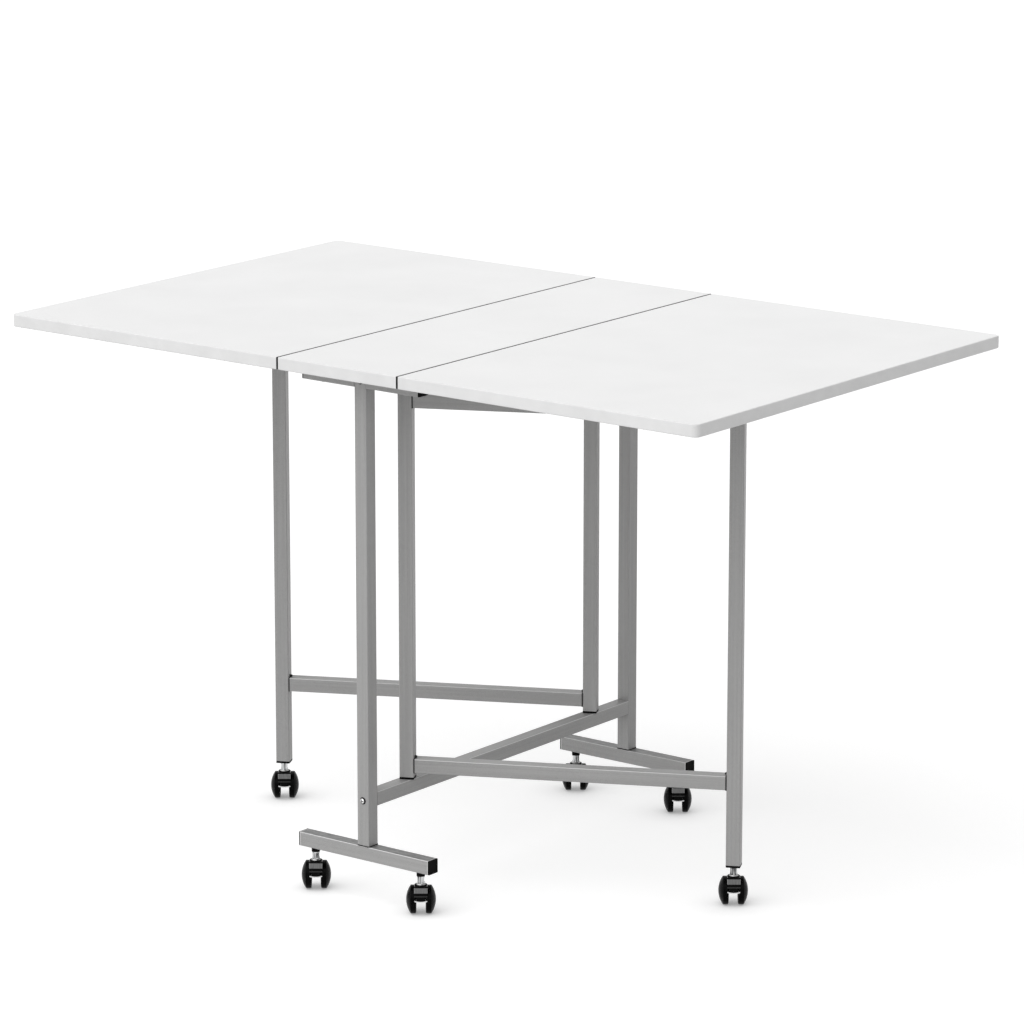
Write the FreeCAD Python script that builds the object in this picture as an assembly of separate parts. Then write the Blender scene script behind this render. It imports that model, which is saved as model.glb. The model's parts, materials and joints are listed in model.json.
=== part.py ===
"""Folding sewing and cutting table on casters.

The narrow centre panel is fixed to a frame of square steel tube: a front and a rear
post, each on a short foot bar and with a top bar in two arms welded to its sides, joined
by a lower and an upper stretcher.  A leaf is hinged along each side of the centre panel.
Each leaf rests on a tube gate that turns on two pins between the stretchers and rolls on
its own caster, so the gate swings in under the centre panel before its leaf is let down.

Units are millimetres.  +X runs along the length of the top, from the left leaf to the
right leaf, +Y runs from the front post to the rear post, and +Z is up.  The origin is on
the floor, under the middle of the top.
"""
import math
import os

import FreeCAD
import Part
from FreeCAD import Rotation, Vector

# ---------------------------------------------------------------- driving dimensions

# top
TOP_LENGTH = 1500.0
TOP_WIDTH = 915.0
TABLE_HEIGHT = 970.0
BOARD_THICKNESS = 22.0
CENTRE_PANEL_WIDTH = 260.0
SEAM_GAP = 2.5
CORNER_RADIUS = 12.0
BAND_THICKNESS = 2.0
BAND_EDGE_RADIUS = 1.6

# square tube, used all through the frame and the gates
TUBE_SIZE = 25.4
TUBE_WALL = 1.2
TUBE_CORNER_RADIUS = 1.6

# frame
POST_SPACING = 764.0
FOOT_BAR_LENGTH = 287.0
TOP_BAR_SETBACK = 4.0
LOWER_STRETCHER_TOP = 201.0
CAP_FLANGE = 2.0
CAP_DEPTH = 12.0
CAP_WALL = 2.0
CAP_PANEL_MARGIN = 3.6
CAP_PANEL_DEPTH = 0.6

# gates
PIVOT_SPACING = 538.0
GATE_WIDTH = 580.0
GATE_OPEN_ANGLE = 26.5
LOWER_RAIL_RISE = 12.0
UPPER_RAIL_DROP = 54.0
PLUG_FLANGE = 3.8
PLUG_DEPTH = 20.0
PLUG_BOSS_HEIGHT = 1.8
PIVOT_PIN_DIAMETER = 10.0
PIVOT_PIN_REACH = 18.0

# bolts that hold the stretchers, and the threaded plugs in the stretcher ends
BOLT_DIAMETER = 6.0
BOLT_HEAD_DIAMETER = 13.0
BOLT_HEAD_HEIGHT = 3.6
BOLT_GRIP = 11.0
CROSS_RECESS_LENGTH = 6.4
CROSS_RECESS_WIDTH = 1.3
CROSS_RECESS_DEPTH = 1.6
END_PLUG_LENGTH = 14.0

# screws that hold the centre panel
PANEL_SCREW_DIAMETER = 5.0
PANEL_SCREW_HEAD_DIAMETER = 10.0
PANEL_SCREW_HEAD_HEIGHT = 2.6
PANEL_SCREW_BITE = 12.0
PANEL_SCREW_OFFSET = 90.0
STRETCHER_SCREW_OFFSET = 150.0

# hinges
HINGE_COUNT = 3
HINGE_PITCH = 225.0
HINGE_LENGTH = 60.0
HINGE_LEAF_WIDTH = 24.0
HINGE_LEAF_THICKNESS = 1.6
HINGE_BARREL_DIAMETER = 6.0
HINGE_PIN_DIAMETER = 3.0
HINGE_KNUCKLES = 5
HINGE_SCREW_DIAMETER = 3.5
HINGE_SCREW_HEAD_DIAMETER = 6.6
HINGE_SCREW_HEAD_HEIGHT = 1.8
HINGE_SCREW_BITE = 13.0
HINGE_SCREW_SPACING = 38.0
HINGE_SCREW_OFFSET = 15.0

# casters
CASTER_HEIGHT = 71.6
CASTER_INSET = 25.5
CASTER_HEADING = 127.5
CASTER_TRAIL = 14.0
WHEEL_DIAMETER = 50.0
WHEEL_SPAN = 52.0
WHEEL_GAP = 16.8
TREAD_WIDTH = 9.6
RIM_THICKNESS = 3.5
RIM_EDGE_RADIUS = 2.0
WHEEL_WALL = 3.0
WHEEL_HUB_DIAMETER = 13.0
WHEEL_RIBS = 6
WHEEL_RIB_THICKNESS = 1.8
AXLE_DIAMETER = 6.0
AXLE_REACH = 9.0
BARREL_DIAMETER = 12.0
BARREL_LENGTH = 21.4
BRACKET_WIDTH = 23.0
BRACKET_PLATE = 2.0
BRACKET_FRONT = 13.2
BRACKET_FRONT_DROP = 11.2
BRACKET_CLEARANCE = 2.5
BRACKET_EDGE_RADIUS = 0.8
BRACKET_WEB_SETBACK = 4.2
CHEEK_SPAN = 15.0
RIB_DROP = 16.0
RIB_THICKNESS = 2.2
LIP_DROP = 28.4
LIP_WIDTH = 22.0
LIP_THICKNESS = 2.0
LIP_RISE = 1.8
SOCKET_DIAMETER = 14.6
SOCKET_DEPTH = 17.0
COLLAR_HEIGHT = 4.0
COLLAR_BASE_DIAMETER = 20.0
COLLAR_TOP_DIAMETER = 14.0
STEM_JOURNAL_DIAMETER = 8.0
STEM_JOURNAL_LENGTH = 18.0
STEM_SEAT_DIAMETER = 13.5
STEM_SEAT_THICKNESS = 2.0
STEM_HEX_SIZE = 12.0
STEM_FLANGE_DIAMETER = 13.6
STEM_FLANGE_THICKNESS = 2.0
STEM_SHANK_DIAMETER = 10.0
STEM_SHANK_REACH = 19.0
WASHER_DIAMETER = 14.8
WASHER_HEIGHT = 8.4
NUT_SIZE = 17.0
NUT_HEIGHT = 8.0

# clearances
RUNNING_CLEARANCE = 0.05
FIT_CLEARANCE = 0.1
FACE_GAP = 0.3

# ---------------------------------------------------------------- derived places

UNDERSIDE = TABLE_HEIGHT - BOARD_THICKNESS
TUBE_HALF = TUBE_SIZE / 2.0
TUBE_INSIDE = TUBE_SIZE - 2.0 * TUBE_WALL
TUBE_INNER_RADIUS = TUBE_CORNER_RADIUS - TUBE_WALL
SNUG_SQUARE = TUBE_INSIDE - 2.0 * FIT_CLEARANCE
POST_Y = POST_SPACING / 2.0
PIVOT_Y = PIVOT_SPACING / 2.0

FOOT_BAR_BOTTOM = CASTER_HEIGHT + WASHER_HEIGHT
FOOT_BAR_TOP = FOOT_BAR_BOTTOM + TUBE_SIZE
TOP_BAR_BOTTOM = UNDERSIDE - TUBE_SIZE
TOP_BAR_LENGTH = CENTRE_PANEL_WIDTH - 2.0 * TOP_BAR_SETBACK
LOWER_STRETCHER_Z = LOWER_STRETCHER_TOP - TUBE_HALF
UPPER_STRETCHER_Z = UNDERSIDE - TUBE_HALF
STRETCHER_LENGTH = POST_SPACING - TUBE_SIZE

LEAF_LENGTH = (TOP_LENGTH - CENTRE_PANEL_WIDTH) / 2.0 - SEAM_GAP
LEAF_CENTRE_X = TOP_LENGTH / 2.0 - LEAF_LENGTH / 2.0
HINGE_AXIS_X = CENTRE_PANEL_WIDTH / 2.0 + SEAM_GAP / 2.0
HINGE_AXIS_DROP = HINGE_BARREL_DIAMETER / 2.0 + FACE_GAP
HINGE_AXIS_Z = UNDERSIDE - HINGE_AXIS_DROP

GATE_PLUG_BOTTOM = CASTER_HEIGHT + PLUG_BOSS_HEIGHT
GATE_POST_BOTTOM = GATE_PLUG_BOTTOM + PLUG_FLANGE
GATE_POST_TOP = UNDERSIDE - FACE_GAP - PLUG_FLANGE
PIVOT_POST_BOTTOM = LOWER_STRETCHER_TOP + FACE_GAP + PLUG_FLANGE
PIVOT_POST_TOP = TOP_BAR_BOTTOM - FACE_GAP - PLUG_FLANGE
LOWER_RAIL_Z = LOWER_STRETCHER_TOP + LOWER_RAIL_RISE + TUBE_HALF
UPPER_RAIL_Z = UNDERSIDE - UPPER_RAIL_DROP - TUBE_HALF

WHEEL_RADIUS = WHEEL_DIAMETER / 2.0
BARREL_BOTTOM = WHEEL_RADIUS - BARREL_DIAMETER / 2.0
BRACKET_TOP = WHEEL_DIAMETER + BRACKET_CLEARANCE + BRACKET_PLATE
BRACKET_FRONT_BOTTOM = BRACKET_TOP - BRACKET_FRONT_DROP
BRACKET_WEB_FRONT = BRACKET_WEB_SETBACK - BRACKET_FRONT
RIB_TOP = BRACKET_TOP - RIB_DROP
LIP_BOTTOM = BRACKET_TOP - LIP_DROP
COLLAR_TOP = BRACKET_TOP + COLLAR_HEIGHT
SOCKET_BOTTOM = BRACKET_TOP - SOCKET_DEPTH
STEM_SEAT_BOTTOM = COLLAR_TOP + FACE_GAP

UP = Vector(0, 0, 1)
DOWN = Vector(0, 0, -1)
ALONG_X = Vector(1, 0, 0)
ALONG_Y = Vector(0, 1, 0)
CENTRE = Vector(0, 0, 0)


# ---------------------------------------------------------------- general helpers

def rounded_outline(size_x, size_y, radii):
    """Face in the XY plane, centred on the origin.

    radii holds the corner radius at (+x, +y), (-x, +y), (-x, -y) and (+x, -y).
    """
    signs = [(1, 1), (-1, 1), (-1, -1), (1, -1)]
    arcs = []
    ends = []
    for quarter, ((sign_x, sign_y), radius) in enumerate(zip(signs, radii)):
        centre = Vector(sign_x * (size_x / 2.0 - radius), sign_y * (size_y / 2.0 - radius), 0)
        start_angle = math.radians(90 * quarter)
        end_angle = math.radians(90 * (quarter + 1))
        start = centre + Vector(math.cos(start_angle), math.sin(start_angle), 0) * radius
        end = centre + Vector(math.cos(end_angle), math.sin(end_angle), 0) * radius
        ends.append((start, end))
        if radius > 0:
            arcs.append(Part.makeCircle(radius, centre, UP, 90 * quarter, 90 * (quarter + 1)))
    sides = [Part.makeLine(ends[i][1], ends[(i + 1) % 4][0]) for i in range(4)]
    return Part.Face(Part.Wire(Part.__sortEdges__(arcs + sides)))


def prism(face, start, length, direction=UP):
    """Extrude a face that was drawn in the XY plane from start, along direction."""
    solid = face.extrude(UP * length)
    solid.Placement = FreeCAD.Placement(start, Rotation(UP, direction))
    return solid


def square_bar(size, corner_radius, start, length, direction=UP):
    """Square bar, centred on the line that runs from start along direction."""
    return prism(rounded_outline(size, size, [corner_radius] * 4), start, length, direction)


def square_tube(start, length, direction=UP):
    """Square steel tube with round corners."""
    outside = rounded_outline(TUBE_SIZE, TUBE_SIZE, [TUBE_CORNER_RADIUS] * 4)
    inside = rounded_outline(TUBE_INSIDE, TUBE_INSIDE, [TUBE_INNER_RADIUS] * 4)
    return prism(outside.cut(inside), start, length, direction)


def rod(diameter, start, length, direction=UP):
    """Round rod, or the cutter for a round hole."""
    return Part.makeCylinder(diameter / 2.0, length, start, direction)


def hexagon(size_across_flats, start, length):
    """Upright hexagonal prism."""
    corner = size_across_flats / math.sqrt(3.0)
    points = []
    for i in range(7):
        angle = math.radians(60 * i)
        points.append(Vector(corner * math.cos(angle), corner * math.sin(angle), 0))
    return prism(Part.Face(Part.makePolygon(points)), start, length)


def half_turn(shape):
    """Copy turned by half a turn about the vertical axis of the table."""
    copy = shape.copy()
    copy.rotate(CENTRE, UP, 180)
    return copy


def moved(shape, offset):
    """Copy moved by offset."""
    copy = shape.copy()
    copy.translate(offset)
    return copy


def save(node, solids):
    """Write one node: a single solid, or a group of separate solids."""
    shape = solids[0] if len(solids) == 1 else Part.makeCompound(solids)
    shape.exportStep(os.path.join("parts", node + ".step"))


# ---------------------------------------------------------------- top

def board_and_band(size_x, radii, centre_x):
    """Core board and the edge band that runs round it, with eased outer edges."""
    core_radii = [max(radius - BAND_THICKNESS, 0) for radius in radii]
    core_x = size_x - 2.0 * BAND_THICKNESS
    core_y = TOP_WIDTH - 2.0 * BAND_THICKNESS
    place = Vector(centre_x, 0, UNDERSIDE)
    core = prism(rounded_outline(core_x, core_y, core_radii), place, BOARD_THICKNESS)
    outside = prism(rounded_outline(size_x, TOP_WIDTH, radii), place, BOARD_THICKNESS)
    rims = [face for face in outside.Faces if abs(face.normalAt(0, 0).z) > 0.9]
    rim_edges = [edge for face in rims for edge in face.Edges]
    band = outside.makeFillet(BAND_EDGE_RADIUS, rim_edges).cut(core)
    return core, band


def hinge_places():
    """Y of the middle of each hinge."""
    middle = (HINGE_COUNT - 1) / 2.0
    return [(i - middle) * HINGE_PITCH for i in range(HINGE_COUNT)]


def hinge_screw_places(side):
    """Points on the underside where the screws of one hinge line go; side is -1 or +1."""
    x = HINGE_AXIS_X + side * HINGE_SCREW_OFFSET
    offsets = (-HINGE_SCREW_SPACING / 2.0, HINGE_SCREW_SPACING / 2.0)
    return [Vector(x, y + offset, UNDERSIDE) for y in hinge_places() for offset in offsets]


def panel_screw_places():
    """Points on the underside where screws come up through the top bars and stretcher."""
    places = []
    for sign_x in (-1, 1):
        for sign_y in (-1, 1):
            places.append(Vector(sign_x * PANEL_SCREW_OFFSET, sign_y * POST_Y, UNDERSIDE))
    for sign_y in (-1, 1):
        places.append(Vector(0, sign_y * STRETCHER_SCREW_OFFSET, UNDERSIDE))
    return places


def pilot_holes(places, diameter, depth):
    """Cutters for the screw holes in the underside of a board."""
    return [rod(diameter + 2.0 * FIT_CLEARANCE, place, depth + FIT_CLEARANCE) for place in places]


def pan_screw(seat, diameter, head_diameter, head_height, length):
    """Screw that points up, with its rounded head under seat."""
    head = Part.makeCone(head_diameter * 0.36, head_diameter / 2.0, head_height, seat - UP * head_height)
    return head.fuse(rod(diameter, seat, length))


def make_top():
    right_hinge_places = hinge_screw_places(-1)
    left_hinge_places = [Vector(-p.x, -p.y, p.z) for p in right_hinge_places]
    core, band = board_and_band(CENTRE_PANEL_WIDTH, (0, 0, 0, 0), 0)
    cutters = pilot_holes(right_hinge_places + left_hinge_places, HINGE_SCREW_DIAMETER, HINGE_SCREW_BITE)
    cutters += pilot_holes(panel_screw_places(), PANEL_SCREW_DIAMETER, PANEL_SCREW_BITE)
    save("centre_panel", [core.cut(cutters)])
    save("centre_panel_edge_band", [band])

    leaf_radii = (CORNER_RADIUS, 0, 0, CORNER_RADIUS)
    core, band = board_and_band(LEAF_LENGTH, leaf_radii, LEAF_CENTRE_X)
    core = core.cut(pilot_holes(hinge_screw_places(1), HINGE_SCREW_DIAMETER, HINGE_SCREW_BITE))
    save("right_leaf", [core])
    save("right_leaf_edge_band", [band])
    save("left_leaf", [half_turn(core)])
    save("left_leaf_edge_band", [half_turn(band)])


# ---------------------------------------------------------------- hinges

def hinge_leaf(side, knuckle_indexes, pin_hole):
    """Hinge leaf on the side -1 or +1 of a barrel whose axis is the Y axis."""
    knuckle_length = HINGE_LENGTH / HINGE_KNUCKLES
    barrel_radius = HINGE_BARREL_DIAMETER / 2.0
    plate_bottom = HINGE_AXIS_DROP - HINGE_LEAF_THICKNESS
    near = barrel_radius + FACE_GAP
    far_width = HINGE_LEAF_WIDTH - near
    plate_x = near if side > 0 else -HINGE_LEAF_WIDTH
    corner = Vector(plate_x, -HINGE_LENGTH / 2.0, plate_bottom)
    leaf = Part.makeBox(far_width, HINGE_LENGTH, HINGE_LEAF_THICKNESS, corner)
    pieces = []
    for index in knuckle_indexes:
        start_y = -HINGE_LENGTH / 2.0 + index * knuckle_length + FACE_GAP / 2.0
        length = knuckle_length - FACE_GAP
        pieces.append(rod(HINGE_BARREL_DIAMETER, Vector(0, start_y, 0), length, ALONG_Y))
        strap_x = 0 if side > 0 else -near
        strap_corner = Vector(strap_x, start_y, plate_bottom)
        pieces.append(Part.makeBox(near, length, HINGE_LEAF_THICKNESS, strap_corner))
    leaf = leaf.fuse(pieces).removeSplitter()
    cutters = [rod(pin_hole, Vector(0, -HINGE_LENGTH, 0), 2.0 * HINGE_LENGTH, ALONG_Y)]
    for sign in (-1, 1):
        screw = Vector(side * HINGE_SCREW_OFFSET, sign * HINGE_SCREW_SPACING / 2.0, 0)
        cutters.append(rod(HINGE_SCREW_DIAMETER + 2.0 * FIT_CLEARANCE, screw, HINGE_LENGTH))
    return leaf.cut(cutters)


def hinge_screws(side):
    """Screws of one side of the right-hand hinge line."""
    seats = [place - UP * HINGE_LEAF_THICKNESS for place in hinge_screw_places(side)]
    length = HINGE_LEAF_THICKNESS + HINGE_SCREW_BITE
    head = (HINGE_SCREW_HEAD_DIAMETER, HINGE_SCREW_HEAD_HEIGHT)
    return [pan_screw(seat, HINGE_SCREW_DIAMETER, *head, length) for seat in seats]


def make_hinges():
    centre_knuckles = range(0, HINGE_KNUCKLES, 2)
    outer_knuckles = range(1, HINGE_KNUCKLES, 2)
    centre_hole = HINGE_PIN_DIAMETER
    outer_hole = HINGE_PIN_DIAMETER + 2.0 * RUNNING_CLEARANCE
    centre_leaf = hinge_leaf(-1, centre_knuckles, centre_hole)
    outer_leaf = hinge_leaf(1, outer_knuckles, outer_hole)
    pin = rod(HINGE_PIN_DIAMETER, Vector(0, -HINGE_LENGTH / 2.0, 0), HINGE_LENGTH, ALONG_Y)
    places = [Vector(HINGE_AXIS_X, y, HINGE_AXIS_Z) for y in hinge_places()]
    centre_leaves = [moved(centre_leaf, place) for place in places]
    outer_leaves = [moved(outer_leaf, place) for place in places]
    pins = [moved(pin, place) for place in places]
    centre_screws = hinge_screws(-1)
    outer_screws = hinge_screws(1)
    save("hinge_centre_leaves", centre_leaves + [half_turn(s) for s in centre_leaves])
    save("hinge_pins", pins + [half_turn(s) for s in pins])
    save("hinge_centre_screws", centre_screws + [half_turn(s) for s in centre_screws])
    save("right_hinge_outer_leaves", outer_leaves)
    save("left_hinge_outer_leaves", [half_turn(s) for s in outer_leaves])
    save("right_hinge_outer_screws", outer_screws)
    save("left_hinge_outer_screws", [half_turn(s) for s in outer_screws])


# ---------------------------------------------------------------- frame

def end_cap(mouth, inward):
    """Plastic cup pushed into a tube end at mouth, with a flange that has a shallow square panel."""
    outer_face = mouth - inward * CAP_FLANGE
    flange = square_bar(TUBE_SIZE, TUBE_CORNER_RADIUS, outer_face, CAP_FLANGE, inward)
    cup = square_bar(SNUG_SQUARE, TUBE_INNER_RADIUS, mouth, CAP_DEPTH, inward)
    hollow = square_bar(SNUG_SQUARE - 2.0 * CAP_WALL, 0, mouth, CAP_DEPTH, inward)
    panel = square_bar(TUBE_SIZE - 2.0 * CAP_PANEL_MARGIN, 0, outer_face, CAP_PANEL_DEPTH, inward)
    return flange.fuse(cup).cut([hollow, panel])


def stretcher_bolt(seat, inward):
    """Cross-head bolt with a domed head on seat and its shank running inward."""
    length = TUBE_SIZE + BOLT_GRIP
    radius = BOLT_HEAD_DIAMETER / 2.0
    dome_radius = (radius ** 2 + BOLT_HEAD_HEIGHT ** 2) / (2.0 * BOLT_HEAD_HEIGHT)
    dome_centre = seat + inward * (dome_radius - BOLT_HEAD_HEIGHT)
    ball = Part.makeSphere(dome_radius, dome_centre)
    outward = inward * -1.0
    head = ball.common(rod(BOLT_HEAD_DIAMETER * 1.5, seat, BOLT_HEAD_HEIGHT * 2.0, outward))
    bolt = head.fuse(rod(BOLT_DIAMETER, seat, length, inward))
    recess_start = seat + outward * (BOLT_HEAD_HEIGHT - CROSS_RECESS_DEPTH)
    slot = rounded_outline(CROSS_RECESS_LENGTH, CROSS_RECESS_WIDTH, (0, 0, 0, 0))
    cross_slot = rounded_outline(CROSS_RECESS_WIDTH, CROSS_RECESS_LENGTH, (0, 0, 0, 0))
    cutters = [prism(face, recess_start, BOLT_HEAD_HEIGHT, outward) for face in (slot, cross_slot)]
    return bolt.cut(cutters)


def end_plug(mouth, inward):
    """Threaded steel plug welded into a stretcher end."""
    plug = square_bar(SNUG_SQUARE, TUBE_INNER_RADIUS, mouth, END_PLUG_LENGTH, inward)
    return plug.cut(rod(BOLT_DIAMETER + 2.0 * FIT_CLEARANCE, mouth, END_PLUG_LENGTH, inward))


def pivot_pin(face_z, direction):
    """Pin that stands against a stretcher's far wall and comes out of its face at face_z."""
    foot = face_z - direction.z * (TUBE_SIZE - TUBE_WALL)
    length = TUBE_SIZE - TUBE_WALL + FACE_GAP + PIVOT_PIN_REACH
    return rod(PIVOT_PIN_DIAMETER, Vector(0, -PIVOT_Y, foot), length, direction)


def stretcher_holes_for_pins(face_z, direction):
    """Cutters for the pin holes in the near wall of a stretcher."""
    depth = TUBE_HALF
    start = Vector(0, -PIVOT_Y, face_z - direction.z * depth)
    hole = rod(PIVOT_PIN_DIAMETER + 2.0 * FIT_CLEARANCE, start, 2.0 * depth, direction)
    return [hole, half_turn(hole)]


def foot_caster_places():
    """Name and plan position of the casters under the foot bars."""
    x = FOOT_BAR_LENGTH / 2.0 - CASTER_INSET
    return {
        "front_left": Vector(-x, -POST_Y, 0),
        "front_right": Vector(x, -POST_Y, 0),
        "rear_left": Vector(-x, POST_Y, 0),
        "rear_right": Vector(x, POST_Y, 0),
    }


def make_frame():
    bolt_hole = BOLT_DIAMETER + 2.0 * FIT_CLEARANCE
    front_face = -POST_Y - TUBE_HALF
    lower_seat = Vector(0, front_face, LOWER_STRETCHER_Z)
    upper_seat = Vector(0, front_face, UPPER_STRETCHER_Z)
    shank_hole = STEM_SHANK_DIAMETER + 2.0 * FIT_CLEARANCE

    post = square_tube(Vector(0, -POST_Y, FOOT_BAR_TOP), UNDERSIDE - FOOT_BAR_TOP)
    post = post.cut([rod(bolt_hole, seat, TUBE_SIZE, ALONG_Y) for seat in (lower_seat, upper_seat)])
    save("front_post", [post])
    save("rear_post", [half_turn(post)])

    foot_start = Vector(-FOOT_BAR_LENGTH / 2.0, -POST_Y, FOOT_BAR_BOTTOM + TUBE_HALF)
    foot = square_tube(foot_start, FOOT_BAR_LENGTH, ALONG_X)
    stems = [place + UP * (FOOT_BAR_BOTTOM - TUBE_HALF) for place in foot_caster_places().values()]
    foot = foot.cut([rod(shank_hole, stem, TUBE_SIZE) for stem in stems if stem.y < 0])
    save("front_foot_bar", [foot])
    save("rear_foot_bar", [half_turn(foot)])

    top_start = Vector(-TOP_BAR_LENGTH / 2.0, -POST_Y, UPPER_STRETCHER_Z)
    arm_length = (TOP_BAR_LENGTH - TUBE_SIZE) / 2.0
    arm_starts = [top_start, Vector(TUBE_HALF, -POST_Y, UPPER_STRETCHER_Z)]
    screw_hole = PANEL_SCREW_DIAMETER + 2.0 * FIT_CLEARANCE
    screw_cutters = [rod(screw_hole, place - UP * TUBE_SIZE, TUBE_SIZE) for place in panel_screw_places()]
    arms = [square_tube(start, arm_length, ALONG_X).cut(screw_cutters) for start in arm_starts]
    save("front_top_bar", arms)
    save("rear_top_bar", [half_turn(arm) for arm in arms])

    inner_y = -POST_Y + TUBE_HALF
    lower = square_tube(Vector(0, inner_y, LOWER_STRETCHER_Z), STRETCHER_LENGTH, ALONG_Y)
    save("lower_stretcher", [lower.cut(stretcher_holes_for_pins(LOWER_STRETCHER_TOP, UP))])
    upper = square_tube(Vector(0, inner_y, UPPER_STRETCHER_Z), STRETCHER_LENGTH, ALONG_Y)
    upper_cutters = stretcher_holes_for_pins(TOP_BAR_BOTTOM, DOWN) + screw_cutters
    save("upper_stretcher", [upper.cut(upper_cutters)])

    front_plugs = [end_plug(Vector(0, inner_y, z), ALONG_Y) for z in (LOWER_STRETCHER_Z, UPPER_STRETCHER_Z)]
    save("stretcher_end_plugs", front_plugs + [half_turn(s) for s in front_plugs])
    front_bolts = [stretcher_bolt(seat, ALONG_Y) for seat in (lower_seat, upper_seat)]
    save("stretcher_bolts", front_bolts + [half_turn(s) for s in front_bolts])

    front_pins = [pivot_pin(LOWER_STRETCHER_TOP, UP), pivot_pin(TOP_BAR_BOTTOM, DOWN)]
    save("gate_pivot_pins", front_pins + [half_turn(s) for s in front_pins])

    front_caps = [end_cap(foot_start, ALONG_X), end_cap(top_start, ALONG_X)]
    front_caps += [end_cap(Vector(-p.x, p.y, p.z), ALONG_X * -1.0) for p in (foot_start, top_start)]
    save("bar_end_caps", front_caps + [half_turn(s) for s in front_caps])

    head = (PANEL_SCREW_HEAD_DIAMETER, PANEL_SCREW_HEAD_HEIGHT)
    length = TUBE_SIZE + PANEL_SCREW_BITE
    seats = [place - UP * TUBE_SIZE for place in panel_screw_places()]
    save("panel_screws", [pan_screw(seat, PANEL_SCREW_DIAMETER, *head, length) for seat in seats])


# ---------------------------------------------------------------- gates

def gate_plug(face, inward):
    """Moulded plug in a gate post end: a square flange, a body and a round bore."""
    flange = square_bar(TUBE_SIZE, TUBE_CORNER_RADIUS, face, PLUG_FLANGE, inward)
    body = square_bar(SNUG_SQUARE, TUBE_INNER_RADIUS, face + inward * PLUG_FLANGE, PLUG_DEPTH, inward)
    bore = rod(PIVOT_PIN_DIAMETER + 2.0 * RUNNING_CLEARANCE, face, PLUG_FLANGE + PLUG_DEPTH, inward)
    return flange.fuse(body).cut(bore)


def caster_plug(face):
    """Gate plug with a round boss under it, against which a caster's stem is screwed."""
    boss = rod(WASHER_DIAMETER, face, PLUG_BOSS_HEIGHT, DOWN)
    shank_hole = rod(STEM_SHANK_DIAMETER + 2.0 * RUNNING_CLEARANCE, face, PLUG_BOSS_HEIGHT, DOWN)
    return gate_plug(face, UP).fuse(boss.cut(shank_hole))


def open_gate(shape):
    """Turn a shape from the gate's own frame, along +X from its pivot, to the right gate."""
    copy = shape.copy()
    copy.rotate(CENTRE, UP, GATE_OPEN_ANGLE)
    copy.translate(Vector(0, -PIVOT_Y, 0))
    return copy


def make_gates():
    rail_length = GATE_WIDTH - TUBE_SIZE
    pivot_height = PIVOT_POST_TOP - PIVOT_POST_BOTTOM
    outer_height = GATE_POST_TOP - GATE_POST_BOTTOM
    lower_face = Vector(0, 0, PIVOT_POST_BOTTOM - PLUG_FLANGE)
    upper_face = Vector(0, 0, PIVOT_POST_TOP + PLUG_FLANGE)
    outer_lower_face = Vector(GATE_WIDTH, 0, GATE_PLUG_BOTTOM)
    outer_upper_face = Vector(GATE_WIDTH, 0, GATE_POST_TOP + PLUG_FLANGE)
    plugs = [gate_plug(lower_face, UP), gate_plug(upper_face, DOWN)]
    plugs += [caster_plug(outer_lower_face), gate_plug(outer_upper_face, DOWN)]
    nodes = {
        "gate_pivot_post": [square_tube(Vector(0, 0, PIVOT_POST_BOTTOM), pivot_height)],
        "gate_outer_post": [square_tube(Vector(GATE_WIDTH, 0, GATE_POST_BOTTOM), outer_height)],
        "gate_lower_rail": [square_tube(Vector(TUBE_HALF, 0, LOWER_RAIL_Z), rail_length, ALONG_X)],
        "gate_upper_rail": [square_tube(Vector(TUBE_HALF, 0, UPPER_RAIL_Z), rail_length, ALONG_X)],
        "gate_post_plugs": plugs,
    }
    for name, solids in nodes.items():
        right = [open_gate(solid) for solid in solids]
        save("right_" + name, right)
        save("left_" + name, [half_turn(solid) for solid in right])


# ---------------------------------------------------------------- casters

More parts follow.
